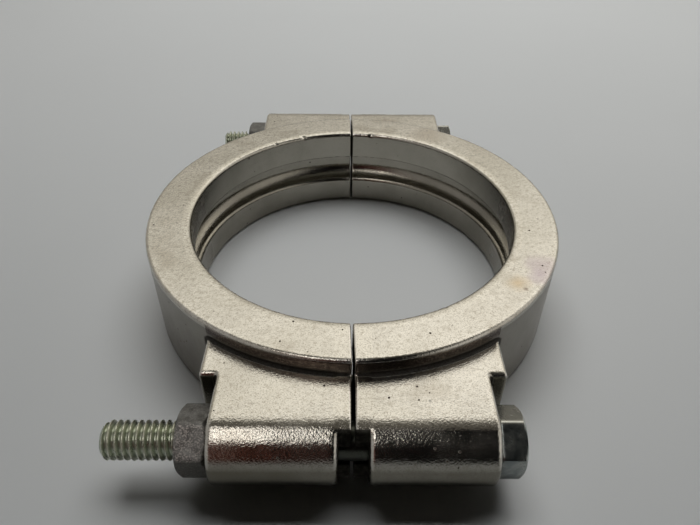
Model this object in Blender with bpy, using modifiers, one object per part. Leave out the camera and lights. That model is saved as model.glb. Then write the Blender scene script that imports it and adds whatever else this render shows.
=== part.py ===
"""Two-piece pipe repair clamp: two cast half rings, drawn together by two hex bolts and their nuts.

Units are metres and +Z is up. The origin is on the bore's axis, in the plane of the lower face.
The bore's axis is Z, the lugs stand out along -Y (front) and +Y (back), and the bolts lie along X.
"""
import math

import bmesh
import bpy
from mathutils import Matrix, Vector

# --- driving dimensions of the castings -------------------------------------------------------
CLAMP_HEIGHT = 0.0254
BORE_RADIUS = 0.0430
OUTER_RADIUS = 0.0544
SPLIT_GAP = 0.0008
LAND_HEIGHT = 0.0084
GROOVE_DEPTH = 0.0045
GROOVE_SIDE_RISE = 0.0010
RIM_CHAMFER = 0.0008
MOUTH_CHAMFER = 0.0006

# --- lugs: a web that ends in a round barrel about the bolt -----------------------------------
LUG_REACH = 0.0643
LUG_HEIGHT_CENTRE = CLAMP_HEIGHT / 2
BARREL_RADIUS = 0.00855
FRONT_SEAT = 0.0283
BACK_SEAT = 0.0304
SHOULDER_HALF_WIDTH = 0.0320
SHOULDER_REACH = 0.0543
LUG_ROOT = 0.0330
HOLE_RADIUS = 0.0044
RELIEF_HALF_WIDTH = 0.0034
RELIEF_REACH = 0.0678
BACK_BOLT_HEIGHT = 0.0107

# --- 5/16 inch fasteners -----------------------------------------------------------------------
THREAD_RADIUS = 0.00397
THREAD_TIP_CHAMFER = 0.0008
BOLT_LENGTH = 0.0780
ACROSS_FLATS = 0.0127
HEAD_HEIGHT = 0.0051
NUT_HEIGHT = 0.0061
HEX_CHAMFER = 0.0007
HEAD_SEAT_CHAMFER = 0.0001
HEX_CORNER_MARGIN = 0.0002
SEAT_CLEARANCE = 0.00025
NUT_BORE_CLEARANCE = 0.00025
NUT_COUNTERSINK = 0.0006

# --- mesh fineness -----------------------------------------------------------------------------
RING_STEPS = 96
ROUND_STEPS = 32
NOSE_STEPS = 16
MERGE = 0.00001
CUT_MARGIN = 0.010
SMOOTH_ANGLE = math.radians(35)

# Where each bolt runs: its side of the ring, the height of its axis, its seat's distance from the
# split plane, and how far its head and its nut are turned about the bolt.
BOLT_PLACES = {
    "front": {
        "side": -1,
        "height": LUG_HEIGHT_CENTRE,
        "seat": FRONT_SEAT,
        "head_turn": -4.75,
        "nut_turn": -8.7,
    },
    "back": {
        "side": 1,
        "height": BACK_BOLT_HEIGHT,
        "seat": BACK_SEAT,
        "head_turn": 0.0,
        "nut_turn": 30.0,
    },
}
HALF_SIDES = {"left_half": -1, "right_half": 1}

# Colour, metallic and roughness of each material.
MATERIALS = {
    "cast_alloy": ((0.62, 0.59, 0.53), 1.0, 0.38),
    "bolt_steel": ((0.20, 0.22, 0.24), 1.0, 0.45),
    "nut_steel": ((0.26, 0.26, 0.25), 0.9, 0.55),
}


def clear_scene():
    """Remove whatever the start-up scene holds."""
    for obj in list(bpy.data.objects):
        bpy.data.objects.remove(obj, do_unlink=True)


def make_collection(name):
    """Make a collection and link it to the scene."""
    collection = bpy.data.collections.new(name)
    bpy.context.scene.collection.children.link(collection)
    return collection


def make_material(name, colour, metallic, roughness):
    """Make a Principled material with a plain colour."""
    material = bpy.data.materials.new(name)
    material.use_nodes = True
    shader = material.node_tree.nodes["Principled BSDF"]
    shader.inputs["Base Color"].default_value = (*colour, 1.0)
    shader.inputs["Metallic"].default_value = metallic
    shader.inputs["Roughness"].default_value = roughness
    return material


def link_mesh(name, mesh, collection):
    """Make an object for a mesh and link it to a collection."""
    obj = bpy.data.objects.new(name, mesh)
    collection.objects.link(obj)
    return obj


def box(name, low, high, collection):
    """A box between two corners."""
    shape = bmesh.new()
    bmesh.ops.create_cube(shape, size=1.0)
    size = Vector(high) - Vector(low)
    bmesh.ops.scale(shape, vec=size, verts=shape.verts)
    bmesh.ops.translate(shape, vec=Vector(low) + size / 2, verts=shape.verts)
    mesh = bpy.data.meshes.new(name)
    shape.to_mesh(mesh)
    shape.free()
    return link_mesh(name, mesh, collection)


def turned(name, profile, steps, collection):
    """Turn a profile of (radius, height) points about Z; both its ends lie on the axis."""
    mesh = bpy.data.meshes.new(name)
    points = [(radius, 0.0, height) for radius, height in profile]
    edges = [(i, i + 1) for i in range(len(points) - 1)]
    mesh.from_pydata(points, edges, [])
    obj = link_mesh(name, mesh, collection)
    screw = obj.modifiers.new("turn", "SCREW")
    screw.axis = "Z"
    screw.steps = steps
    screw.render_steps = steps
    screw.use_merge_vertices = True
    screw.merge_threshold = MERGE
    screw.use_normal_calculate = False
    return obj


def along_x(obj, place):
    """Lay a shape made about Z along X, its foot at the place and its top towards -X."""
    obj.rotation_euler = (0.0, -math.pi / 2, 0.0)
    obj.location = place


def applied(obj):
    """Replace an object by the mesh that its modifiers give, in world coordinates."""
    bpy.context.view_layer.update()
    evaluated = obj.evaluated_get(bpy.context.evaluated_depsgraph_get())
    mesh = bpy.data.meshes.new_from_object(evaluated)
    mesh.transform(obj.matrix_world)
    name, collection = obj.name, obj.users_collection[0]
    bpy.data.objects.remove(obj, do_unlink=True)
    return link_mesh(name, mesh, collection)


def combine(target, tool, operation):
    """Add, cut or keep the common part of two solids with an exact Boolean."""
    tool.hide_render = True
    tool.display_type = "WIRE"
    boolean = target.modifiers.new(tool.name, "BOOLEAN")
    boolean.operation = operation
    boolean.solver = "EXACT"
    boolean.object = tool


def shade_round(obj):
    """Shade a round piece smooth, with its true edges kept sharp."""
    obj.data.shade_smooth()
    obj.data.set_sharp_from_angle(angle=SMOOTH_ANGLE)


def lug_outline():
    """Outline of a lug seen along the bolt: a web from inside the ring to a half-round nose."""
    half = BARREL_RADIUS
    points = [(LUG_ROOT, -half)]
    for step in range(NOSE_STEPS + 1):
        angle = -math.pi / 2 + math.pi * step / NOSE_STEPS
        points.append((LUG_REACH + half * math.cos(angle), half * math.sin(angle)))
    points.append((LUG_ROOT, half))
    return points


def lug(name, side, half_width, collection):
    """Extrude the lug's outline to the same width on each side of the split plane."""
    outline = lug_outline()
    curve = bpy.data.curves.new(name, "CURVE")
    curve.dimensions = "2D"
    curve.fill_mode = "BOTH"
    curve.extrude = half_width
    spline = curve.splines.new("POLY")
    spline.points.add(len(outline) - 1)
    for point, (reach, height) in zip(spline.points, outline):
        point.co = (reach, height, 0.0, 1.0)
    spline.use_cyclic_u = True
    obj = bpy.data.objects.new(name, curve)
    collection.objects.link(obj)
    obj.rotation_euler = (math.pi / 2, 0.0, side * math.pi / 2)
    obj.location = (0.0, 0.0, LUG_HEIGHT_CENTRE)
    solid = applied(obj)
    close_caps(solid.data)
    return solid


def close_caps(mesh):
    """Join the loose caps of a filled curve to its sides."""
    shape = bmesh.new()
    shape.from_mesh(mesh)
    bmesh.ops.remove_doubles(shape, verts=shape.verts, dist=MERGE)
    bmesh.ops.recalc_face_normals(shape, faces=shape.faces)
    shape.to_mesh(mesh)
    shape.free()


def seat_step(name, side, collection):
    """Cutter that steps the front lug in from its shoulder to the seat of the nut or bolt head."""
    outer = SHOULDER_HALF_WIDTH + CUT_MARGIN
    low = (min(side * FRONT_SEAT, side * outer), -LUG_REACH - BARREL_RADIUS - CUT_MARGIN, -CUT_MARGIN)
    high = (max(side * FRONT_SEAT, side * outer), -SHOULDER_REACH, CLAMP_HEIGHT + CUT_MARGIN)
    return box(name, low, high, collection)


def ring_profile():
    """Outer profile of the ring, from the top of the axis round to its foot."""
    return [
        (0.0, CLAMP_HEIGHT),
        (OUTER_RADIUS - RIM_CHAMFER, CLAMP_HEIGHT),
        (OUTER_RADIUS, CLAMP_HEIGHT - RIM_CHAMFER),
        (OUTER_RADIUS, RIM_CHAMFER),
        (OUTER_RADIUS - RIM_CHAMFER, 0.0),
        (0.0, 0.0),
    ]


def bore_profile():
    """Profile of the bore: a land at each end, and between them a groove with slightly sloping sides."""
    groove = BORE_RADIUS + GROOVE_DEPTH
    side = LAND_HEIGHT + GROOVE_SIDE_RISE
    mouth = BORE_RADIUS + MOUTH_CHAMFER
    return [
        (0.0, CLAMP_HEIGHT + CUT_MARGIN),
        (mouth, CLAMP_HEIGHT + CUT_MARGIN),
        (mouth, CLAMP_HEIGHT),
        (BORE_RADIUS, CLAMP_HEIGHT - MOUTH_CHAMFER),
        (BORE_RADIUS, CLAMP_HEIGHT - LAND_HEIGHT),
        (groove, CLAMP_HEIGHT - side),
        (groove, side),
        (BORE_RADIUS, LAND_HEIGHT),
        (BORE_RADIUS, MOUTH_CHAMFER),
        (mouth, 0.0),
        (mouth, -CUT_MARGIN),
        (0.0, -CUT_MARGIN),
    ]


def bolt_hole(name, place, collection):
    """Cutter for the plain hole that a bolt passes through."""
    reach = SHOULDER_HALF_WIDTH + CUT_MARGIN
    profile = [(0.0, 2 * reach), (HOLE_RADIUS, 2 * reach), (HOLE_RADIUS, 0.0), (0.0, 0.0)]
    hole = turned(name, profile, ROUND_STEPS, collection)
    along_x(hole, (reach, place["side"] * LUG_REACH, place["height"]))
    return hole


def relief(name, place, collection):
    """Cutter for the notch across the split, which bares the bolt between the two barrels."""
    near = place["side"] * RELIEF_REACH
    far = place["side"] * (LUG_REACH + BARREL_RADIUS + CUT_MARGIN)
    low = (-RELIEF_HALF_WIDTH, min(near, far), -CUT_MARGIN)
    high = (RELIEF_HALF_WIDTH, max(near, far), CLAMP_HEIGHT + CUT_MARGIN)
    return box(name, low, high, collection)


def casting(name, side, material, parts, cutters):
    """One half ring: the full ring with its lugs, cut to the side of the split plane it is on."""
    half = turned(name, ring_profile(), RING_STEPS, parts)
    combine(half, lug(name + "_front_lug", -1, SHOULDER_HALF_WIDTH, cutters), "UNION")
    combine(half, lug(name + "_back_lug", 1, BACK_SEAT, cutters), "UNION")
    combine(half, seat_step(name + "_seat_step", side, cutters), "DIFFERENCE")
    combine(half, turned(name + "_bore", bore_profile(), RING_STEPS, cutters), "DIFFERENCE")
    for end, place in BOLT_PLACES.items():
        combine(half, relief(f"{name}_{end}_relief", place, cutters), "DIFFERENCE")
        combine(half, bolt_hole(f"{name}_{end}_hole", place, cutters), "DIFFERENCE")
    reach = LUG_REACH + BARREL_RADIUS + CUT_MARGIN
    faces = (side * SPLIT_GAP / 2, -side * reach)
    low = (min(faces), -reach, -2 * CUT_MARGIN)
    high = (max(faces), reach, CLAMP_HEIGHT + 2 * CUT_MARGIN)
    combine(half, box(name + "_split", low, high, cutters), "DIFFERENCE")
    half = applied(half)
    shade_round(half)
    half.data.materials.append(material)
    return half


def hex_prism(name, height, foot, collection):
    """Six-sided prism about Z, with a corner towards +X at rest."""
    shape = bmesh.new()
    corner_radius = ACROSS_FLATS / 2 / math.cos(math.pi / 6)
    bmesh.ops.create_cone(
        shape, cap_ends=True, segments=6, radius1=corner_radius, radius2=corner_radius, depth=height
    )
    corner = list(shape.verts)[0].co
    to_x = Matrix.Rotation(-math.atan2(corner.y, corner.x), 3, "Z")
    bmesh.ops.rotate(shape, verts=shape.verts, matrix=to_x)
    bmesh.ops.translate(shape, vec=(0.0, 0.0, foot + height / 2), verts=shape.verts)
    mesh = bpy.data.meshes.new(name)
    shape.to_mesh(mesh)
    shape.free()
    return link_mesh(name, mesh, collection)


def hex_chamfer_profile(low, high, low_chamfer, high_chamfer):
    """Profile whose common part with a hex prism has turned corners at its ends."""
    face = ACROSS_FLATS / 2
    corner = face / math.cos(math.pi / 6) + HEX_CORNER_MARGIN
    slope = (corner - face) / HEX_CHAMFER
    return [
        (0.0, high),
        (corner - slope * high_chamfer, high),
        (corner, high - high_chamfer),
        (corner, low + low_chamfer),
        (corner - slope * low_chamfer, low),
        (0.0, low),
    ]


def bolt(name, place, material, parts, cutters):
    """Hex bolt, its head on the right seat and its shank running to -X."""
    head = hex_prism(name, HEAD_HEIGHT, -HEAD_HEIGHT, parts)
    rounding = hex_chamfer_profile(-HEAD_HEIGHT, 0.0, HEX_CHAMFER, HEAD_SEAT_CHAMFER)
    combine(head, turned(name + "_head_chamfer", rounding, ROUND_STEPS, cutters), "INTERSECT")
    bite = HEAD_HEIGHT / 2
    shank = [
        (0.0, BOLT_LENGTH),
        (THREAD_RADIUS - THREAD_TIP_CHAMFER, BOLT_LENGTH),
        (THREAD_RADIUS, BOLT_LENGTH - THREAD_TIP_CHAMFER),
        (THREAD_RADIUS, -bite),
        (0.0, -bite),
    ]
    combine(head, turned(name + "_shank", shank, ROUND_STEPS, cutters), "UNION")
    seat = (place["seat"] + SEAT_CLEARANCE, place["side"] * LUG_REACH, place["height"])
    return finished_fastener(head, name, seat, place["head_turn"], material, parts)


def nut(name, place, material, parts, cutters):
    """Hex nut on the left seat, its outer face towards -X."""
    body = hex_prism(name, NUT_HEIGHT, 0.0, parts)
    rounding = hex_chamfer_profile(0.0, NUT_HEIGHT, HEX_CHAMFER / 2, HEX_CHAMFER)
    combine(body, turned(name + "_chamfer", rounding, ROUND_STEPS, cutters), "INTERSECT")
    bore = THREAD_RADIUS + NUT_BORE_CLEARANCE
    wide = bore + NUT_COUNTERSINK
    tapped = [
        (0.0, NUT_HEIGHT + CUT_MARGIN),
        (wide, NUT_HEIGHT + CUT_MARGIN),
        (wide, NUT_HEIGHT),
        (bore, NUT_HEIGHT - NUT_COUNTERSINK),
        (bore, NUT_COUNTERSINK),
        (wide, 0.0),
        (wide, -CUT_MARGIN),
        (0.0, -CUT_MARGIN),
    ]
    combine(body, turned(name + "_thread", tapped, ROUND_STEPS, cutters), "DIFFERENCE")
    seat = (-place["seat"] - SEAT_CLEARANCE, place["side"] * LUG_REACH, place["height"])
    return finished_fastener(body, name, seat, place["nut_turn"], material, parts)


def finished_fastener(obj, name, seat, turn, material, parts):
    """Apply a fastener's cuts and put it on its seat, with its origin on the bolt's axis."""
    solid = applied(obj)
    solid.name = name
    along_x(solid, seat)
    solid.rotation_euler.rotate_axis("Z", math.radians(turn))
    shade_round(solid)
    solid.data.materials.append(material)
    return solid


def build():
    """Build the whole clamp."""
    clear_scene()
    parts = make_collection("pipe_repair_clamp")
    cutters = make_collection("cutters")
    materials = {name: make_material(name, *look) for name, look in MATERIALS.items()}
    for name, side in HALF_SIDES.items():
        casting(name, side, materials["cast_alloy"], parts, cutters)
    for end, place in BOLT_PLACES.items():
        bolt(end + "_bolt", place, materials["bolt_steel"], parts, cutters)
        nut(end + "_nut", place, materials["nut_steel"], parts, cutters)


build()
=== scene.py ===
"""Looks of a two-piece pipe repair clamp.

Two nickel-plated cast half rings are drawn together by zinc-plated bolts and their nuts.
"""
import math

import bpy
import numpy as np
import openvdb
from mathutils import Matrix, Vector, noise


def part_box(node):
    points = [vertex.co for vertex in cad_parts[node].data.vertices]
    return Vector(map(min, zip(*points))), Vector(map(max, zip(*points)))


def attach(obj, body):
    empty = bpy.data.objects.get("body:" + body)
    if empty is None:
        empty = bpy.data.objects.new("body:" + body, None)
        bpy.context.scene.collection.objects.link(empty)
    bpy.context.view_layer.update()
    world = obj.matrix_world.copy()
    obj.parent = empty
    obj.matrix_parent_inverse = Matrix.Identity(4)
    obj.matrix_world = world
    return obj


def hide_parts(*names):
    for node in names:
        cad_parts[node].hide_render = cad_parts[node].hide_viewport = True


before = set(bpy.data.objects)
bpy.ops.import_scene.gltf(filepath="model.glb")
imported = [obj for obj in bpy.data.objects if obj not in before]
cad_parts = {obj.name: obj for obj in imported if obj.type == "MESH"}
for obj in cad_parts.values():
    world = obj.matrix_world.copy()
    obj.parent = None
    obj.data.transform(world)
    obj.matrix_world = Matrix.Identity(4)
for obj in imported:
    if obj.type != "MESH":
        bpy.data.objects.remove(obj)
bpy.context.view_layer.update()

# --- shape of the castings, in metres --------------------------------------------------------
HALF_LOW, HALF_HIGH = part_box("right_half")
HEIGHT = HALF_HIGH.z
BORE_RADIUS = 0.0430
OUTER_RADIUS = HALF_HIGH.x
RING_MIDDLE = (OUTER_RADIUS + BORE_RADIUS) / 2
RING_HALF_WIDTH = (OUTER_RADIUS - BORE_RADIUS) / 2 + 0.0002
GROOVE_RADIUS = 0.0475
GROOVE_DEPTH = GROOVE_RADIUS - BORE_RADIUS
GROOVE_MIDDLE = HEIGHT / 2
GROOVE_HALF_MOUTH = 0.0043
GROOVE_SIDE_RISE = 0.0010
BARREL_RADIUS = 0.00855
LUG_REACH = HALF_HIGH.y - BARREL_RADIUS
LUG_CENTRE = HEIGHT / 2
LUG_TOP = LUG_CENTRE + BARREL_RADIUS
FRONT_SEAT = 0.0283
BACK_SEAT = 0.0304
SHOULDER_HALF_WIDTH = 0.0320
SHOULDER_REACH = 0.0543
HOLE_RADIUS = 0.0044
NOTCH_HALF_WIDTH = 0.0030
NOTCH_REACH = 0.0678

# The gap between the halves is narrower across the ring than between the front lugs.
HALF_GAP = HALF_LOW.x
RING_HALF_GAP = 0.00026
GAP_WIDENING_LENGTH = 0.0015

# Radii of the rounded edges and of the fillets between the faces of a casting.
RIM_ROUND = 0.0009
MOUTH_ROUND = 0.0007
LOWER_LAND_ROUND = 0.0010
UPPER_LAND_ROUND = 0.0001
SEAT_ROUND = 0.0010
NOTCH_ROUND = 0.00035
BARREL_END_ROUND = 0.0010
HOLE_ROUND = 0.0003
SPLIT_ROUND = 0.00035
LUG_FILLET = 0.0005
STEP_FILLET = 0.0005
GROOVE_LOWER_FILLET = 0.0030
GROOVE_UPPER_FILLET = 0.0004

# The notch's fillet grows from almost nothing over a short length before the notch's floor.
NOTCH_FILLET = 0.0003
NOTCH_FILLET_LEAD = 0.0030
NOTCH_FILLET_RAMP = 0.0020
NOTCH_FILLET_LEAST_SHARE = 0.001

# The bore's rim is worn down over a narrow band.
RIM_WEAR_WIDTH = 0.0022
RIM_WEAR_DEPTH = 0.00027

# Size and height of the waves in the cast skin, and the share of them left on machined faces.
CAST_RIPPLES = ((0.0110, 0.000050), (0.0040, 0.000018), (0.0018, 0.000008))
RIPPLE_OFFSET = Vector((3.1, 7.7, 1.3))
RIPPLE_ON_TOP = 0.35
RIPPLE_IN_BORE = 0.5
RIPPLE_ON_SPLIT = 0.2
LEVEL_NORMAL = 0.9
LEVEL_MARGIN = 0.001
SPLIT_NORMAL = 0.95

# Knocks in the rims: place, radius and depth.
DENTS = (
    ((-0.0155, 0.0407, HEIGHT), 0.0012, 0.00035),
    ((-0.0240, 0.0361, HEIGHT), 0.0009, 0.00022),
    ((0.0063, 0.0424, HEIGHT), 0.0013, 0.00040),
    ((0.0205, -0.0379, HEIGHT), 0.0008, 0.00020),
)

# How far the gap leans, how that fades out away from the split faces, its growth towards the
# bore in front, and the length over which it starts at the back.
SPLIT_SKEW = 0.0004
SKEW_FULL, SKEW_FADE = 1.6, 0.0008
SKEW_INWARD = 0.9
SKEW_BACK_LENGTH = 0.020

# --- meshing of the castings -----------------------------------------------------------------
VOXEL = 0.0003
BAND = 4 * VOXEL
SNAP_STEPS = 4
TINY = 1e-12

# --- what the castings' material needs to know of their surface ------------------------------
BEND_STEP = 0.0006
SIDE_EDGE_BELOW = 0.25
SIDE_EDGE_SHARE = 0.4
OPENNESS_STEPS = (0.0008, 0.0016, 0.0032)
NOTCH_OPENNESS_SHARE = 0.3
NOTCH_MARGIN_X, NOTCH_MARGIN_Y = 0.0003, 0.0006
# Below this openness a face takes the near-black painted-shade material.
SHADE_BELOW_OPENNESS = 0.45
UPRIGHT_GAIN = 1.6
BORE_MARGIN, BORE_FADE = 0.0004, 0.0003
BORE_TOP_FADE, BORE_BOTTOM = 0.0004, 0.0005
BORE_BEYOND_NORMAL = -0.98
STEP_MARGIN = 0.001

# The underside starts where the normal's Z falls below a limit, and is full a little lower.
# It starts higher on the rounded nose of a lug than elsewhere.
UNDERSIDE_LIMIT, UNDERSIDE_FADE = -0.10, 0.6
NOSE_UNDERSIDE_LIMIT, NOSE_UNDERSIDE_FADE = 0.56, 0.35
SHOULDER_UNDERSIDE, SHOULDER_UNDERSIDE_GAIN = 1.2, 1.6
SHOULDER_MARGIN_X, SHOULDER_MARGIN_Y = 0.0004, 0.0012

# --- fasteners, in metres and degrees --------------------------------------------------------
THREAD_RADIUS = 0.00397
PITCH = 0.0254 / 18
THREAD_DEPTH = 0.6134 * PITCH
THREAD_LENGTH = 0.0250
THREAD_CREST_SHARE = 0.14
THREAD_ROOT_SHARE = 0.22
THREAD_ROUNDNESS = 0.35
RUNOUT_TURNS = 1.5
BOLT_LENGTH = 0.0780
HEX_FACE = 0.00635
HEX_CORNER = HEX_FACE / math.cos(math.pi / 6)
HEX_CORNER_WEAR = 0.00012
HEX_CHAMFER = 0.0007
CHAMFER_END = 0.0009
CHAMFER_ROWS = 14
BOLT_CHAMFER_START = 0.00008
BOLT_FACE_INSET = 0.00005
SHANK_START, SHANK_END = 0.002, 0.001
TIP_MARGIN = 0.00002
NUT_CLEARANCE = 0.00012
NUT_FACE_INSET = 0.00015
NUT_THREAD_INSET = 0.0001
NUT_FACE_RADIUS = 0.0055
NUT_MOUTH_RADIUS = THREAD_RADIUS + 0.0006
FASTENERS = {
    "front": {
        "y": -LUG_REACH, "z": LUG_CENTRE, "head_turn": -4.75, "nut_turn": -8.7, "tip": -0.0006,
    },
    "back": {
        "y": LUG_REACH, "z": 0.0107, "head_turn": 0.0, "nut_turn": 30.0, "tip": 0.0015,
    },
}

# The bolt's profile: depth below the head's face and radius; share of the head's length;
# height above the seat and cut from the hexagon; depth below the seat and radius; distance
# from the tip and radius.
HEAD_FACE_ROWS = ((0.0, 0.0002), (0.0, 0.0030), (0.0, 0.0052), (0.0, 0.0059), (0.00004, 0.0061))
HEAD_SIDE_ROWS = (0.35, 0.6, 0.85)
HEAD_SEAT_ROWS = ((0.00025, 0.0), (0.00008, 0.00006), (0.0, 0.0002))
NECK_ROWS = (
    (0.0, 0.0058),
    (0.0, THREAD_RADIUS + 0.0006),
    (0.0001, THREAD_RADIUS + 0.0002),
    (0.0004, THREAD_RADIUS),
)
TIP_ROWS = ((0.0, THREAD_RADIUS - 0.00102), (0.00003, 0.0015), (0.00003, 0.0002))
TIP_CHAMFER = 0.0010
TIP_SLOPE = 1.1
NUT_SIDE_ROWS = (0.35, 0.5, 0.65)

# Rows and steps of the fasteners' meshes.
SHANK_ROWS = 12
BOLT_ROWS_PER_TURN = 18
NUT_ROWS_PER_TURN = 14
STEPS_ROUND = 96
SHARP_ANGLE = math.radians(38)

# --- colours, as linear red, green, blue and alpha -------------------------------------------
NICKEL_DULL = (0.67, 0.645, 0.57, 1)
NICKEL_BRIGHT = (0.765, 0.74, 0.67, 1)
# Rounded edges: lighter from wear and from a painted highlight.
NICKEL_WORN_AND_LIT = (0.84, 0.81, 0.76, 1)
BROAD_STAIN = (0.48, 0.44, 0.365, 1)
FINE_STAIN = (0.42, 0.385, 0.32, 1)
GRAIN_SHADE = (0.36, 0.33, 0.28, 1)
# Painted shade: the ring's upright walls are darker than its top faces.
RING_WALL_DARK = (0.26, 0.235, 0.20, 1)
RING_WALL_LIGHT = (0.46, 0.435, 0.385, 1)
# Painted shade: dark brown on the ring's outer wall above the lugs.
STEP_DARK = (0.085, 0.062, 0.052, 1)
STEP_LIGHT = (0.30, 0.25, 0.21, 1)
# Painted shade: the bore's walls are darker than the faces outside it.
BORE_DARK = (0.25, 0.235, 0.195, 1)
BORE_LIGHT = (0.36, 0.34, 0.29, 1)
# Painted shade: dark speckles near creases and recesses.
CAST_SPECKLE = (0.10, 0.085, 0.065, 1)
# Painted shade on the undersides.
CAST_UNDERSIDE = (0.125, 0.115, 0.085, 1)
# Painted shade: near black in creases, the gap and the notches.
CAST_HOLLOW = (0.018, 0.015, 0.012, 1)
CAST_PIT = (0.10, 0.08, 0.065, 1)
# Near-black painted shade for the split faces and the notches.
RECESS_SHADE_DARK = (0.030, 0.027, 0.022, 1)
RECESS_SHADE_LIGHT = (0.085, 0.080, 0.066, 1)
HEAD_DARK = (0.22, 0.25, 0.25, 1)
HEAD_LIGHT = (0.37, 0.39, 0.37, 1)
# Painted highlight on the bolt head's top facet.
HEAD_TOP_HIGHLIGHT = (0.62, 0.62, 0.57, 1)
SHANK_SHADE = (0.07, 0.073, 0.06, 1)
THREAD_DARK = (0.58, 0.61, 0.50, 1)
THREAD_LIGHT = (0.74, 0.75, 0.63, 1)
# Painted shade in the thread valleys.
THREAD_VALLEY_SHADE = (0.46, 0.50, 0.40, 1)
# Painted shade on the bolts' low side.
BOLT_UNDERSIDE_SHADE = (0.05, 0.055, 0.045, 1)
BOLT_SPECKLE = (0.10, 0.09, 0.07, 1)
NUT_DARK = (0.17, 0.165, 0.155, 1)
NUT_LIGHT = (0.36, 0.35, 0.33, 1)
# Painted shade on the nut's top facet.
NUT_TOP_SHADE = (0.07, 0.072, 0.066, 1)
# Pale dust, which on the nut's front facet also stands in for painted light.
NUT_DUST_AND_LIGHT = (0.74, 0.69, 0.64, 1)
# Painted shade on the nuts' lower facets.
NUT_UNDERSIDE_SHADE = (0.07, 0.068, 0.058, 1)
FLOOR_DARK = (0.665, 0.68, 0.68, 1)
FLOOR_LIGHT = (0.705, 0.72, 0.72, 1)

# Tinted spots on the castings: place, radius, colour and strength. The first four are the heat
# tint on the right of the ring; the rest are a small dark knock and brown stains at the back.
TINTS = (
    ((0.0455, -0.0240, HEIGHT), 0.0058, (0.50, 0.42, 0.47, 1), 0.50),
    ((0.0433, -0.0284, HEIGHT), 0.0040, (0.46, 0.38, 0.45, 1), 0.45),
    ((0.0384, -0.0302, HEIGHT), 0.0048, (0.66, 0.50, 0.30, 1), 0.60),
    ((0.0398, -0.0323, HEIGHT), 0.0011, (0.16, 0.11, 0.08, 1), 0.80),
    ((0.0151, -0.0609, LUG_TOP), 0.0006, (0.20, 0.20, 0.19, 1), 0.80),
    ((0.0240, 0.0425, HEIGHT), 0.0070, (0.42, 0.34, 0.25, 1), 0.35),
    ((0.0100, 0.0560, LUG_TOP), 0.0090, (0.40, 0.33, 0.25, 1), 0.35),
)

# --- stage -----------------------------------------------------------------------------------
SENSOR_WIDTH = 36.0
IMAGE_WIDTH = 700.0
FOCAL_LENGTH_PIXELS = 600.0
CLIP_START, CLIP_END = 0.005, 20.0
CAMERA_PLACE = (-0.001697, -0.135028, 0.117534)
CAMERA_PITCH = math.radians(39.453)
CAMERA_YAW = math.radians(0.513)
CAMERA_ROLL = math.radians(0.655)
FLOOR_HALF_SIZE = 4.0

# The room that the clamp reflects, by direction, from the front left to the wall behind it.
ROOM_RED = (0.080, 0.028, 0.020, 1)
ROOM_BLACK = (0.003, 0.003, 0.003, 1)
ROOM_OVERHEAD = (0.10, 0.093, 0.08, 1)
ROOM_LEFT = (0.30, 0.29, 0.28, 1)
ROOM_RIGHT = (0.50, 0.48, 0.45, 1)
ROOM_WALL_LOW = (0.36, 0.34, 0.30, 1)
ROOM_WALL_MIDDLE = (0.88, 0.84, 0.75, 1)
ROOM_WALL_HIGH = (1.24, 1.19, 1.10, 1)

# Place, width and length in metres, power in watts and colour of each area light.
WINDOW = ((-0.55, -1.08, 2.40), (0.56, 1.70), 6.1, (1.0, 0.98, 0.95))
OVERHEAD = ((0.08, 0.38, 0.80), (0.80, 0.70), 2.6, (1.0, 1.0, 0.99))
OVERHEAD_SPREAD = math.radians(110)


def meet(a, b, radius):
    """Distance to the common part of two shapes, with the edge between them rounded."""
    outside = np.hypot(np.maximum(a + radius, 0), np.maximum(b + radius, 0))
    return outside + np.minimum(np.maximum(a, b) + radius, 0) - radius


def join(a, b, radius):
    """Distance to the union of two shapes, with a fillet between them."""
    return -meet(-a, -b, radius)


def bored_distance(radius, z):
    """Signed distance, nearly, to everything outside the bore and its groove."""
    off_middle = np.abs(z - GROOVE_MIDDLE) - GROOVE_HALF_MOUTH
    side = (radius - BORE_RADIUS) * GROOVE_SIDE_RISE + off_middle * GROOVE_DEPTH
    side = side / math.hypot(GROOVE_SIDE_RISE, GROOVE_DEPTH)
    lower = z < GROOVE_MIDDLE
    fillet = np.where(lower, GROOVE_LOWER_FILLET, GROOVE_UPPER_FILLET)
    groove = meet(radius - GROOVE_RADIUS, side, fillet)
    land_round = np.where(lower, LOWER_LAND_ROUND, UPPER_LAND_ROUND)
    return meet(BORE_RADIUS - radius, -groove, land_round)


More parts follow.
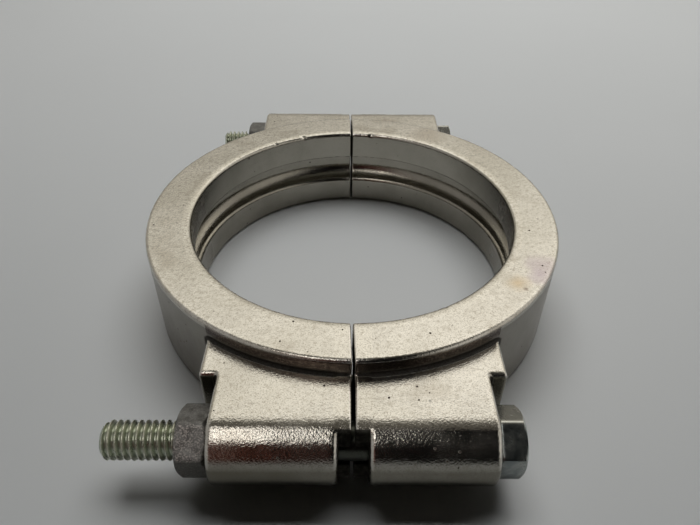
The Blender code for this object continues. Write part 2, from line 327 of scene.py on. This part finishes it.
def casting_distance(x, y, z):
    """Signed distance, nearly, to the half ring on the +X side."""
    reach = np.abs(y)
    radius = np.hypot(x, y)
    wear = RIM_WEAR_DEPTH * np.clip(1 - (radius - BORE_RADIUS) / RIM_WEAR_WIDTH, 0, 1) ** 2
    ring = meet(radius - OUTER_RADIUS, np.abs(z - HEIGHT / 2) - HEIGHT / 2 + wear, RIM_ROUND)
    nose = np.hypot(np.maximum(reach - LUG_REACH, 0), z - LUG_CENTRE) - BARREL_RADIUS
    shoulder = meet(x - SHOULDER_HALF_WIDTH, reach - SHOULDER_REACH, STEP_FILLET)
    seat = np.where(y < 0, join(x - FRONT_SEAT, shoulder, STEP_FILLET), x - BACK_SEAT)
    lug = meet(nose, seat, SEAT_ROUND)
    body = join(ring, lug, LUG_FILLET)
    body = meet(body, bored_distance(radius, z), MOUTH_ROUND)
    web = meet(body, reach - NOTCH_REACH, NOTCH_ROUND)
    barrel = meet(body, NOTCH_HALF_WIDTH - x, BARREL_END_ROUND)
    by_notch = (reach - NOTCH_REACH + NOTCH_FILLET_LEAD) / NOTCH_FILLET_RAMP
    by_notch = np.clip(by_notch, NOTCH_FILLET_LEAST_SHARE, 1)
    body = join(web, barrel, NOTCH_FILLET * by_notch)
    bolt_height = np.where(y < 0, FASTENERS["front"]["z"], FASTENERS["back"]["z"])
    hole = np.hypot(reach - LUG_REACH, z - bolt_height) - HOLE_RADIUS
    body = meet(body, -hole, HOLE_ROUND)
    by_lug = np.where(y < 0, np.clip((reach - OUTER_RADIUS) / GAP_WIDENING_LENGTH, 0, 1), 0)
    half_gap = RING_HALF_GAP + by_lug * (HALF_GAP - RING_HALF_GAP)
    return meet(body, half_gap - x, SPLIT_ROUND)


def slope_of(field, points, step):
    """Unit gradient of a distance field at many points."""
    parts = []
    for axis in range(3):
        shift = np.zeros(3)
        shift[axis] = step
        ahead, behind = (points + shift).T, (points - shift).T
        parts.append(field(*ahead) - field(*behind))
    gradient = np.stack(parts, 1)
    return gradient / np.maximum(np.linalg.norm(gradient, axis=1, keepdims=True), TINY)


def casting_surface():
    """Points, quads and normals of the half on the +X side."""
    low = np.array(HALF_LOW) - BAND
    high = np.array(HALF_HIGH) + BAND
    axes = [np.arange(a, b, VOXEL) for a, b in zip(low, high)]
    x, y, z = np.meshgrid(*axes, indexing="ij")
    distance = np.clip(casting_distance(x, y, z), -BAND, BAND).astype(np.float32)
    grid = openvdb.FloatGrid(BAND)
    grid.copyFromArray(distance)
    points, quads = grid.convertToQuads()
    points = low + points.astype(float) * VOXEL
    for _ in range(SNAP_STEPS):
        normals = slope_of(casting_distance, points, VOXEL / 8)
        points = points - normals * casting_distance(*points.T)[:, None]
    return points, quads.astype(int), slope_of(casting_distance, points, VOXEL / 2)


def bend_at(points, normals):
    """How sharply the surface bends: above 0 on its edges, below 0 in its creases."""
    bend = -6 * casting_distance(*points.T)
    for axis in range(3):
        for step in (-BEND_STEP, BEND_STEP):
            shift = np.zeros(3)
            shift[axis] = step
            bend = bend + casting_distance(*(points + shift).T)
    bend = bend / BEND_STEP
    # Upright edges keep less of their bend, so they take less of the wear and painted highlight.
    bend[(bend > 0) & (normals[:, 2] < SIDE_EDGE_BELOW)] *= SIDE_EDGE_SHARE
    return bend


def openness_at(points, normals):
    """Share of free space in front of the surface, with the other half in its place."""
    openness = np.zeros(len(points))
    for step in OPENNESS_STEPS:
        x, y, z = (points + normals * step).T
        free = np.clip(casting_distance(np.abs(x), y, z) / step, 0, 1)
        openness += free / len(OPENNESS_STEPS)
    reach = np.abs(points[:, 1])
    inside = points[:, 0] < NOTCH_HALF_WIDTH + NOTCH_MARGIN_X
    in_notch = inside & (reach > NOTCH_REACH - NOTCH_MARGIN_Y)
    # Counting the notch as more closed gives it more painted shade.
    openness[in_notch] *= NOTCH_OPENNESS_SHARE
    return openness


def casting_traits(points, normals):
    """What the castings' material needs to know at each point, as numbers from 0 to 1.

    Only the bend goes beyond that range. The step is the outer wall of the ring above a lug.
    """
    x, y, z = points.T
    reach = np.abs(y)
    off_axis = np.hypot(x, y)
    openness = openness_at(points, normals)
    upright = 1 - np.clip(np.abs(normals[:, 2]) * UPRIGHT_GAIN, 0, 1)
    near_ring = np.abs(off_axis - RING_MIDDLE) < RING_HALF_WIDTH
    in_bore = np.clip((GROOVE_RADIUS + BORE_MARGIN - off_axis) / BORE_FADE, 0, 1)
    in_bore *= normals[:, 0] > BORE_BEYOND_NORMAL
    below_rim = np.clip((HEIGHT - BORE_TOP_FADE - z) / BORE_TOP_FADE, 0, 1)
    in_bore *= below_rim * (z > BORE_BOTTOM)
    on_nose = reach > LUG_REACH
    limit = np.where(on_nose, NOSE_UNDERSIDE_LIMIT, UNDERSIDE_LIMIT)
    fade = np.where(on_nose, NOSE_UNDERSIDE_FADE, UNDERSIDE_FADE)
    underside = np.clip((limit - normals[:, 2]) / fade, 0, 1)
    on_shoulder = np.abs(reach - SHOULDER_REACH) < SHOULDER_MARGIN_Y
    on_shoulder &= x > FRONT_SEAT + SHOULDER_MARGIN_X
    facing = SHOULDER_UNDERSIDE_GAIN * normals[on_shoulder, 2]
    underside[on_shoulder] = np.clip(SHOULDER_UNDERSIDE - facing, 0, 1)
    over_lug = near_ring & (z > LUG_TOP - STEP_MARGIN) & (x < SHOULDER_HALF_WIDTH)
    return {
        "bend": bend_at(points, normals),
        "openness": openness,
        "ring_wall": upright * near_ring * (1 - in_bore),
        "bore": in_bore,
        "step": upright * over_lug * (off_axis > RING_MIDDLE),
        "underside": underside * (1 - in_bore),
    }


def faces_outward(points, quads):
    """True if the quads enclose a positive volume."""
    a, b, c, d = (points[quads[:, i]] for i in range(4))
    volume = np.einsum("ij,ij->i", a, np.cross(b, c)) + np.einsum("ij,ij->i", a, np.cross(c, d))
    return volume.sum() > 0


def smooth_mesh(name, points, faces):
    """Make an object with smooth shading from lists of points and faces."""
    mesh = bpy.data.meshes.new(name)
    mesh.from_pydata(points, [], faces)
    mesh.validate()
    mesh.shade_smooth()
    obj = bpy.data.objects.new(name, mesh)
    bpy.context.scene.collection.objects.link(obj)
    return obj


def cast_ripple(points, normals):
    """Move points along their normals by the uneven skin of a sand casting and its dents."""
    height = np.zeros(len(points))
    for k, (size, amount) in enumerate(CAST_RIPPLES):
        shift = RIPPLE_OFFSET * k
        height += amount * np.array([noise.noise(Vector(p) / size + shift) for p in points])
    level = np.abs(normals[:, 2]) > LEVEL_NORMAL
    at_face = (points[:, 2] > HEIGHT - LEVEL_MARGIN) | (points[:, 2] < LEVEL_MARGIN)
    height[level & at_face] *= RIPPLE_ON_TOP
    in_bore = np.hypot(points[:, 0], points[:, 1]) < GROOVE_RADIUS + BORE_MARGIN
    height[in_bore] *= RIPPLE_IN_BORE
    height[np.abs(normals[:, 0]) > SPLIT_NORMAL] *= RIPPLE_ON_SPLIT
    for centre, radius, depth in DENTS:
        away = np.linalg.norm(points - np.array(centre), axis=1) / radius
        height -= depth * np.clip(1 - away ** 2, 0, 1) ** 2
    return skew_split(points + normals * height[:, None])


def skew_split(points):
    """Lean the gap between the halves to one side, since neither half is cut quite square."""
    near = np.clip(SKEW_FULL - np.abs(points[:, 0]) / SKEW_FADE, 0, 1)
    inward = np.clip((points[:, 1] + OUTER_RADIUS) / (OUTER_RADIUS - BORE_RADIUS), 0, 1)
    front = (points[:, 1] < 0) * (SKEW_INWARD * inward + 1 - points[:, 2] / HEIGHT)
    back = np.clip((points[:, 1] - BORE_RADIUS) / SKEW_BACK_LENGTH, 0, 1)
    points[:, 0] -= SPLIT_SKEW * near * (front + back)
    return points


def castings(material, painted_shade):
    """Both halves: the left is the right's mirror image with its own ripple."""
    points, quads, normals = casting_surface()
    traits = casting_traits(points, normals)
    # Hemmed-in faces outside the bore take the near-black painted-shade material.
    closed = (traits["openness"] < SHADE_BELOW_OPENNESS) & (traits["bore"] < 0.5)
    shaded_faces = closed[quads].all(axis=1)
    for name, side in (("right_half", 1), ("left_half", -1)):
        flip = np.array((side, 1, 1))
        own_points = cast_ripple(points * flip, normals * flip)
        own_quads = quads if faces_outward(own_points, quads) else quads[:, ::-1]
        half = smooth_mesh(name + "_casting", own_points.tolist(), own_quads.tolist())
        for trait, values in traits.items():
            attribute = half.data.attributes.new(trait, "FLOAT", "POINT")
            attribute.data.foreach_set("value", values.astype(np.float32))
        half.data.materials.append(material)
        half.data.materials.append(painted_shade)
        half.data.polygons.foreach_set("material_index", shaded_faces.astype(np.int32))
        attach(half, name)
        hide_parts(name)


# --- fasteners: rows of points round the bolt's axis -----------------------------------------
def hexagon(turn):
    """Angles round the axis from a corner on, and the radius of the hexagon at each of them."""
    first_corner = math.pi / 2 - math.radians(turn)
    angles = first_corner + np.arange(STEPS_ROUND) * 2 * math.pi / STEPS_ROUND
    off_flat = (angles - first_corner) % (math.pi / 3) - math.pi / 6
    return angles, np.minimum(HEX_FACE / np.cos(off_flat), HEX_CORNER - HEX_CORNER_WEAR)


def chamfered(depths, face_radius, sides):
    """Radii of a hexagon cut by a cone, at several depths below its face."""
    slope = (HEX_CORNER - HEX_FACE) / HEX_CHAMFER
    return [np.minimum(sides, face_radius + depth * slope) for depth in depths]


def thread_radius(x, angles, clearance):
    """Radius of the right-hand thread at each angle about +X."""
    phase = (x / PITCH - angles / (2 * math.pi)) % 1.0
    from_crest = np.abs(phase - 0.5) * 2
    flank_share = 1 - THREAD_CREST_SHARE - THREAD_ROOT_SHARE
    ramp = np.clip((from_crest - THREAD_CREST_SHARE) / flank_share, 0, 1)
    rounded = ramp * ramp * (3 - 2 * ramp)
    ramp = rounded * THREAD_ROUNDNESS + ramp * (1 - THREAD_ROUNDNESS)
    return THREAD_RADIUS + clearance - THREAD_DEPTH * ramp


def rows_mesh(name, rows, angles, place, closed):
    """Mesh from rows of (x, radius at each angle) about a line along X through the place."""
    points = []
    for x, radii in rows:
        radii = np.broadcast_to(radii, angles.shape)
        for angle, radius in zip(angles, radii):
            y = place["y"] + radius * math.cos(angle)
            z = place["z"] + radius * math.sin(angle)
            points.append((x, y, z))
    faces = []
    count = len(angles)
    for r in range(len(rows) - (0 if closed else 1)):
        here, there = r * count, (r + 1) % len(rows) * count
        for i in range(count):
            j = (i + 1) % count
            faces.append((here + i, there + i, there + j, here + j))
    if not closed:
        faces.append(tuple(range(count)))
        faces.append(tuple(reversed(range(len(points) - count, len(points)))))
    obj = smooth_mesh(name, points, faces)
    obj.data.set_sharp_from_angle(angle=SHARP_ANGLE)
    off_axis = [math.hypot(y - place["y"], z - place["z"]) for _, y, z in points]
    obj.data.attributes.new("off_axis", "FLOAT", "POINT").data.foreach_set("value", off_axis)
    return obj


def bolt(end, place, material):
    """Hex bolt, its head at +X and its threaded tip at -X."""
    low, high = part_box(end + "_bolt")
    seat = low.x + BOLT_LENGTH
    runout = low.x + THREAD_LENGTH
    tip = low.x + place["tip"]
    angles, sides = hexagon(place["head_turn"])
    rows = [(high.x - depth, radius) for depth, radius in HEAD_FACE_ROWS]
    depths = np.linspace(BOLT_CHAMFER_START, CHAMFER_END, CHAMFER_ROWS)
    chamfer = chamfered(depths, HEX_FACE - BOLT_FACE_INSET, sides)
    rows += [(high.x - depth, radii) for depth, radii in zip(depths, chamfer)]
    rows += [(high.x - (high.x - seat) * share, sides) for share in HEAD_SIDE_ROWS]
    rows += [(seat + lift, sides - cut) for lift, cut in HEAD_SEAT_ROWS]
    rows += [(seat - depth, radius) for depth, radius in NECK_ROWS]
    shank = np.linspace(seat - SHANK_START, runout + SHANK_END, SHANK_ROWS)
    rows += [(x, THREAD_RADIUS) for x in shank]
    for x in np.arange(runout, tip + TIP_MARGIN, -PITCH / BOLT_ROWS_PER_TURN):
        radii = thread_radius(x, angles, 0.0)
        fade = min(1.0, (runout - x) / (RUNOUT_TURNS * PITCH))
        radii = THREAD_RADIUS + (radii - THREAD_RADIUS) * fade
        rows.append((x, np.minimum(radii, THREAD_RADIUS - TIP_CHAMFER + (x - tip) * TIP_SLOPE)))
    rows += [(tip + inset, radius) for inset, radius in TIP_ROWS]
    obj = rows_mesh(end + "_bolt_steel", rows, angles, place, False)
    obj.data.materials.append(material)
    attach(obj, end + "_bolt")
    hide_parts(end + "_bolt")


def nut(end, place, material):
    """Hex nut with a chamfer on both faces and a tapped bore."""
    low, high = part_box(end + "_nut")
    angles, sides = hexagon(place["nut_turn"])
    depths = np.linspace(0.0, CHAMFER_END, CHAMFER_ROWS)
    outer = chamfered(depths, HEX_FACE - NUT_FACE_INSET, sides)
    rows = [(low.x, NUT_MOUTH_RADIUS), (low.x, NUT_FACE_RADIUS)]
    rows += [(low.x + depth, radii) for depth, radii in zip(depths, outer)]
    rows += [(low.x + (high.x - low.x) * share, sides) for share in NUT_SIDE_ROWS]
    rows += [(high.x - depth, radii) for depth, radii in reversed(list(zip(depths, outer)))]
    rows += [(high.x, NUT_FACE_RADIUS), (high.x, NUT_MOUTH_RADIUS)]
    first, last = high.x - NUT_THREAD_INSET, low.x + NUT_THREAD_INSET
    for x in np.arange(first, last, -PITCH / NUT_ROWS_PER_TURN):
        edge = min(high.x - x, x - low.x)
        radii = thread_radius(x, angles, NUT_CLEARANCE)
        rows.append((x, np.maximum(radii, NUT_MOUTH_RADIUS - edge)))
    rows.reverse()
    obj = rows_mesh(end + "_nut_steel", rows, angles, place, True)
    obj.data.materials.append(material)
    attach(obj, end + "_nut")
    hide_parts(end + "_nut")


# --- materials -------------------------------------------------------------------------------
class Nodes:
    """A short way to add and link nodes."""

    def __init__(self, tree):
        self.tree = tree
        self.link = tree.links.new

    def feed(self, socket, value):
        """Link a socket to another node's output, or set it to a plain value."""
        if isinstance(value, bpy.types.NodeSocket):
            self.link(value, socket)
        else:
            socket.default_value = value

    def add(self, kind, inputs=(), **settings):
        node = self.tree.nodes.new(kind)
        for key, value in settings.items():
            setattr(node, key, value)
        for key, value in dict(inputs).items():
            self.feed(node.inputs[key], value)
        return node

    def maths(self, operation, a, b):
        return self.add("ShaderNodeMath", {0: a, 1: b}, operation=operation).outputs[0]

    def plus(self, a, b):
        return self.maths("ADD", a, b)

    def minus(self, a, b):
        return self.maths("SUBTRACT", a, b)

    def times(self, a, b):
        return self.maths("MULTIPLY", a, b)

    def ramp(self, value, low, high, to_low=0.0, to_high=1.0):
        """Smooth step from to_low, where the value is low, to to_high, where it is high."""
        limits = {"From Min": low, "From Max": high, "To Min": to_low, "To Max": to_high}
        kind = "ShaderNodeMapRange"
        node = self.add(kind, {"Value": value, **limits}, interpolation_type="SMOOTHSTEP")
        return node.outputs["Result"]

    def mix(self, share, a, b):
        """Colour a where the share is 0 and colour b where it is 1."""
        node = self.add("ShaderNodeMix", {0: share, 6: a, 7: b}, data_type="RGBA")
        return node.outputs[2]

    def noise(self, place, scale, detail=2.0, roughness=0.5):
        inputs = {"Vector": place, "Scale": scale, "Detail": detail, "Roughness": roughness}
        return self.add("ShaderNodeTexNoise", inputs).outputs["Fac"]

    def trait(self, name):
        return self.add("ShaderNodeAttribute", attribute_name=name).outputs["Fac"]

    def bump(self, shader, height, distance, strength=1.0):
        """Give a shader's surface fine relief."""
        inputs = {"Height": height, "Strength": strength, "Distance": distance}
        node = self.add("ShaderNodeBump", inputs)
        self.link(node.outputs["Normal"], shader.inputs["Normal"])


def new_material(name):
    """A material, its nodes, its shader and the place on the object that they start from."""
    material = bpy.data.materials.new(name)
    material.use_nodes = True
    nodes = Nodes(material.node_tree)
    shader = material.node_tree.nodes["Principled BSDF"]
    place = nodes.add("ShaderNodeTexCoord").outputs["Object"]
    return material, nodes, shader, place


def pits(nodes, place):
    """Small round pits, crowded in some areas and rare in others."""
    cells = nodes.add("ShaderNodeTexVoronoi", {"Vector": place, "Scale": 850.0})
    chance = nodes.add("ShaderNodeSeparateColor", {0: cells.outputs["Color"]}).outputs[0]
    crowd = nodes.ramp(nodes.noise(place, 120.0, 3.0, 0.6), 0.50, 0.72, 0.965, 0.70)
    size = nodes.times(nodes.ramp(nodes.minus(chance, crowd), 0.0, 0.10), 0.26)
    return nodes.ramp(nodes.minus(cells.outputs["Distance"], size), 0.0, -0.10)


def cast_nickel():
    """Plated casting: pebbled skin, fine pits, warm grey stains, and edges made bright by wear
    and by a painted highlight.

    Painted shade: its creases and recesses are black with dark speckles round them, the ring's
    upright wall is darker and brown above the lugs, and the bore and the undersides are darker.
    """
    material, nodes, shader, place = new_material("cast_nickel")
    pebble = nodes.noise(place, 2300.0, 2.0, 0.6)
    wave = nodes.noise(place, 620.0, 2.0, 0.5)
    grain = nodes.noise(place, 3300.0, 1.0)
    broad = nodes.noise(place, 95.0, 3.0)
    cloud = nodes.noise(place, 34.0, 4.0, 0.6)
    mottle = nodes.noise(place, 900.0, 4.0, 0.7)
    pit = pits(nodes, place)
    height = nodes.add("ShaderNodeSeparateXYZ", {0: place}).outputs[2]
    bend = nodes.trait("bend")
    bore = nodes.trait("bore")
    openness = nodes.trait("openness")
    outside_bore = nodes.minus(1.0, bore)
    worn_and_lit = nodes.ramp(bend, 0.30, 0.95)
    # Painted shade: creases, the gap between the halves and the notches go near black.
    crease = nodes.ramp(bend, -0.35, -0.90, 0.0, 0.85)
    hollow_shade = nodes.maths("MAXIMUM", nodes.ramp(openness, 0.34, 0.20), crease)
    hollow_shade = nodes.times(hollow_shade, outside_bore)
    # Painted shade broken into dark speckles where little open space lies in front of the surface.
    speckled_shade = nodes.times(nodes.ramp(openness, 0.92, 0.45), nodes.ramp(grain, 0.50, 0.62))
    speckled_shade = nodes.times(speckled_shade, outside_bore)

    colour = nodes.mix(nodes.ramp(cloud, 0.35, 0.65), NICKEL_DULL, NICKEL_BRIGHT)
    colour = nodes.mix(nodes.ramp(broad, 0.56, 0.74, 0.0, 0.5), colour, BROAD_STAIN)
    colour = nodes.mix(nodes.ramp(mottle, 0.46, 0.72, 0.0, 0.60), colour, FINE_STAIN)
    colour = nodes.mix(nodes.ramp(grain, 0.50, 0.72, 0.0, 0.65), colour, GRAIN_SHADE)
    for centre, radius, tint, strength in TINTS:
        away = nodes.add("ShaderNodeVectorMath", {0: place, 1: centre}, operation="DISTANCE")
        uneven = nodes.times(nodes.minus(broad, 0.5), radius * 1.6)
        away = nodes.plus(away.outputs["Value"], uneven)
        colour = nodes.mix(nodes.ramp(away, radius, radius * 0.2, 0.0, strength), colour, tint)
    # Painted shade: the ring's upright walls are darker than its top faces.
    wall_shade = nodes.mix(nodes.ramp(cloud, 0.3, 0.7), RING_WALL_DARK, RING_WALL_LIGHT)
    colour = nodes.mix(nodes.times(nodes.trait("ring_wall"), 0.85), colour, wall_shade)
    # Painted shade: the ring's outer wall above a lug is dark brown, darkest towards its top.
    step_shade = nodes.mix(nodes.ramp(pebble, 0.45, 0.70), STEP_DARK, STEP_LIGHT)
    step = nodes.times(nodes.trait("step"), nodes.ramp(height, 0.0219, 0.0231, 0.20, 0.95))
    colour = nodes.mix(step, colour, step_shade)
    # Painted shade: dark speckles near creases and recesses.
    colour = nodes.mix(nodes.times(speckled_shade, 0.6), colour, CAST_SPECKLE)
    # Painted shade: the bore's walls are darker than the faces outside it.
    bored = nodes.mix(nodes.ramp(cloud, 0.3, 0.7), BORE_DARK, BORE_LIGHT)
    colour = nodes.mix(nodes.times(bore, 0.9), colour, bored)
    # Painted shade: the undersides darken where they face the floor.
    painted_shade = nodes.times(nodes.trait("underside"), nodes.ramp(cloud, 0.3, 0.7, 0.95, 0.80))
    colour = nodes.mix(painted_shade, colour, CAST_UNDERSIDE)
    # Rounded edges lighter, from wear and a painted highlight.
    edge = nodes.times(worn_and_lit, nodes.ramp(bore, 0.0, 1.0, 0.60, 0.45))
    colour = nodes.mix(edge, colour, NICKEL_WORN_AND_LIT)
    # Painted shade: near black in creases and recesses.
    colour = nodes.mix(hollow_shade, colour, CAST_HOLLOW)
    colour = nodes.mix(pit, colour, CAST_PIT)
    nodes.link(colour, shader.inputs["Base Color"])

    metal = nodes.minus(1.0, nodes.times(hollow_shade, 0.85))
    nodes.link(metal, shader.inputs["Metallic"])
    rough = nodes.ramp(nodes.noise(place, 160.0, 3.0), 0.3, 0.7, 0.13, 0.22)
    rough = nodes.plus(rough, nodes.times(pit, 0.4))
    rough = nodes.plus(rough, nodes.times(hollow_shade, 0.6))
    nodes.link(rough, shader.inputs["Roughness"])
    shader.inputs["Specular IOR Level"].default_value = 0.1
    relief = nodes.plus(nodes.times(pebble, 1.35), nodes.times(grain, 0.3))
    relief = nodes.plus(relief, nodes.times(wave, 0.6))
    relief = nodes.minus(relief, nodes.times(pit, 0.8))
    nodes.bump(shader, relief, 0.00004)
    return material


def recess_shade_cast():
    """Painted shade: near-black, matte split faces and notches round the bolts."""
    material, nodes, shader, place = new_material("recess_shade_cast")
    patch = nodes.noise(place, 700.0, 4.0, 0.6)
    colour = nodes.mix(nodes.ramp(patch, 0.35, 0.70), RECESS_SHADE_DARK, RECESS_SHADE_LIGHT)
    nodes.link(colour, shader.inputs["Base Color"])
    shader.inputs["Roughness"].default_value = 1.0
    shader.inputs["Specular IOR Level"].default_value = 0.0
    nodes.bump(shader, patch, 0.00006)
    return material


def zinc_bolt(end):
    """Zinc-plated bolt: dull blue-grey head with a painted highlight on its top facet, and a shank
    darkened with painted shade.

    The threads are brighter, with a yellow-green tint and painted shade in their valleys, and the
    low side is darkened with painted shade. The facet's limits are the front bolt's, which paints
    the highlight over the whole back head.
    """
    material, nodes, shader, place = new_material(end + "_zinc")
    along, across, height = nodes.add("ShaderNodeSeparateXYZ", {0: place}).outputs
    threads = nodes.ramp(along, -0.020, -0.026)
    patch = nodes.noise(place, 420.0, 4.0, 0.6)
    fine = nodes.noise(place, 2600.0, 2.0)
    head = nodes.mix(nodes.ramp(patch, 0.35, 0.65), HEAD_DARK, HEAD_LIGHT)
    # Painted highlight on the head's top facet.
    head = nodes.mix(nodes.ramp(across, -0.0655, -0.0648, 0.0, 0.9), head, HEAD_TOP_HIGHLIGHT)
    head = nodes.mix(nodes.ramp(along, 0.0262, 0.0250), head, SHANK_SHADE)
    zinc = nodes.mix(nodes.ramp(patch, 0.35, 0.65), THREAD_DARK, THREAD_LIGHT)
    # Painted shade in the thread valleys.
    valley_shade = nodes.ramp(nodes.trait("off_axis"), 0.00375, 0.00325)
    zinc = nodes.mix(valley_shade, zinc, THREAD_VALLEY_SHADE)
    colour = nodes.mix(threads, head, zinc)
    # Painted shade: darker towards the bolt's low side.
    colour = nodes.mix(nodes.ramp(height, 0.0110, 0.0088, 0.0, 0.60), colour, BOLT_UNDERSIDE_SHADE)
    colour = nodes.mix(nodes.ramp(fine, 0.55, 0.8, 0.0, 0.4), colour, BOLT_SPECKLE)
    nodes.link(colour, shader.inputs["Base Color"])
    nodes.link(nodes.ramp(threads, 0.0, 1.0, 0.92, 1.0), shader.inputs["Metallic"])
    rough = nodes.ramp(patch, 0.3, 0.7, 0.18, 0.28)
    nodes.link(nodes.plus(rough, nodes.times(threads, 0.06)), shader.inputs["Roughness"])
    nodes.bump(shader, fine, 0.00004, strength=0.5)
    return material


def dusty_shaded_nut():
    """Dull dark grey nut: upper and lower facets darkened with painted shade, and pale dust on the
    one between, where it also stands in for painted light.

    The facets' limits are the front nut's, which leaves the back nut dark with painted shade and
    with little dust.
    """
    material, nodes, shader, place = new_material("dusty_shaded_steel")
    patch = nodes.noise(place, 520.0, 5.0, 0.7)
    fine = nodes.noise(place, 3000.0, 2.0)
    colour = nodes.mix(nodes.ramp(patch, 0.35, 0.7), NUT_DARK, NUT_LIGHT)
    _, across, height = nodes.add("ShaderNodeSeparateXYZ", {0: place}).outputs
    # Painted shade: the nut's top facet is darker.
    colour = nodes.mix(nodes.ramp(across, -0.0660, -0.0652, 0.0, 0.50), colour, NUT_TOP_SHADE)
    # Pale dust, heaviest on the front facet, where it also stands in for painted light.
    dust_and_light = nodes.ramp(across, -0.0652, -0.0660, 0.15, 1.0)
    colour = nodes.mix(nodes.times(nodes.ramp(fine, 0.42, 0.76), dust_and_light), colour, NUT_DUST_AND_LIGHT)
    # Painted shade: the nut's lower facets are darker.
    colour = nodes.mix(nodes.ramp(height, 0.0156, 0.0151, 0.0, 0.80), colour, NUT_UNDERSIDE_SHADE)
    nodes.link(colour, shader.inputs["Base Color"])
    nodes.link(nodes.ramp(patch, 0.3, 0.7, 0.85, 0.45), shader.inputs["Metallic"])
    nodes.link(nodes.ramp(patch, 0.3, 0.7, 0.42, 0.62), shader.inputs["Roughness"])
    nodes.bump(shader, fine, 0.00005, strength=0.5)
    return material


# --- stage -----------------------------------------------------------------------------------
def camera():
    """Camera at the height and tilt of a hand-held phone in front of the clamp."""
    data = bpy.data.cameras.new("camera")
    data.sensor_width = SENSOR_WIDTH
    data.lens = FOCAL_LENGTH_PIXELS / IMAGE_WIDTH * SENSOR_WIDTH
    data.clip_start = CLIP_START
    data.clip_end = CLIP_END
    east = math.sin(CAMERA_YAW) * math.cos(CAMERA_PITCH)
    north = math.cos(CAMERA_YAW) * math.cos(CAMERA_PITCH)
    ahead = Vector((east, north, -math.sin(CAMERA_PITCH)))
    right = Vector((math.cos(CAMERA_YAW), -math.sin(CAMERA_YAW), 0.0))
    up = right.cross(ahead)
    across = math.cos(CAMERA_ROLL) * right + math.sin(CAMERA_ROLL) * up
    above = -math.sin(CAMERA_ROLL) * right + math.cos(CAMERA_ROLL) * up
    turn = Matrix((across, above, -ahead)).transposed()
    obj = bpy.data.objects.new("camera", data)
    obj.matrix_world = Matrix.Translation(CAMERA_PLACE) @ turn.to_4x4()
    bpy.context.scene.collection.objects.link(obj)
    bpy.context.scene.camera = obj


def floor():
    """Plain pale floor."""
    size = FLOOR_HALF_SIZE
    corners = [(-size, -size, 0), (size, -size, 0), (size, size, 0), (-size, size, 0)]
    obj = smooth_mesh("floor", corners, [(0, 1, 2, 3)])
    material, nodes, shader, place = new_material("pale_floor")
    shade = nodes.mix(nodes.noise(place, 9.0, 3.0), FLOOR_DARK, FLOOR_LIGHT)
    nodes.link(shade, shader.inputs["Base Color"])
    shader.inputs["Roughness"].default_value = 0.45
    shader.inputs["Specular IOR Level"].default_value = 0.4
    obj.data.materials.append(material)


def area_light(name, place, size, power, colour):
    """Soft light that hangs level and shines down; returned so that its rays can be limited."""
    data = bpy.data.lights.new(name, "AREA")
    data.shape = "RECTANGLE"
    data.size, data.size_y = size
    data.energy = power
    data.color = colour
    obj = bpy.data.objects.new(name, data)
    obj.location = place
    bpy.context.scene.collection.objects.link(obj)
    return obj


def room():
    """What the clamp reflects: a pale wall behind it, dark above and in front, paler sides.

    x, y and z are the parts of a direction. The room gives no diffuse light.
    """
    world = bpy.data.worlds.new("studio")
    bpy.context.scene.world = world
    world.use_nodes = True
    world.cycles_visibility.diffuse = False
    nodes = Nodes(world.node_tree)
    background = world.node_tree.nodes["Background"]
    place = nodes.add("ShaderNodeTexCoord").outputs["Generated"]
    x, y, z = nodes.add("ShaderNodeSeparateXYZ", {0: place}).outputs
    colour = nodes.mix(nodes.ramp(x, -0.19, -0.09), ROOM_RED, ROOM_BLACK)
    colour = nodes.mix(nodes.ramp(y, -0.22, 0.10), colour, ROOM_OVERHEAD)
    colour = nodes.mix(nodes.ramp(x, -0.28, -0.55), colour, ROOM_LEFT)
    colour = nodes.mix(nodes.ramp(x, 0.46, 0.60), colour, ROOM_RIGHT)
    climb = nodes.plus(z, nodes.times(x, 0.25))
    wall = nodes.mix(nodes.ramp(climb, 0.36, 0.60), ROOM_WALL_LOW, ROOM_WALL_MIDDLE)
    wall = nodes.mix(nodes.ramp(climb, 0.58, 0.78), wall, ROOM_WALL_HIGH)
    colour = nodes.mix(nodes.ramp(y, 0.32, 0.58), colour, wall)
    nodes.link(colour, background.inputs["Color"])
    background.inputs["Strength"].default_value = 1.0


def lights():
    """A window above the front left that shows only in reflections, and an even overhead light."""
    window = area_light("window", *WINDOW)
    window.visible_diffuse = False
    overhead = area_light("overhead", *OVERHEAD)
    overhead.data.spread = OVERHEAD_SPREAD
    overhead.visible_glossy = False


def build():
    """Make every piece, then the stage round them."""
    castings(cast_nickel(), recess_shade_cast())
    dust_and_light = dusty_shaded_nut()
    for end, place in FASTENERS.items():
        bolt(end, place, zinc_bolt(end))
        nut(end, place, dust_and_light)
    floor()
    camera()
    room()
    lights()
    bpy.context.scene.view_settings.view_transform = "Standard"


build()
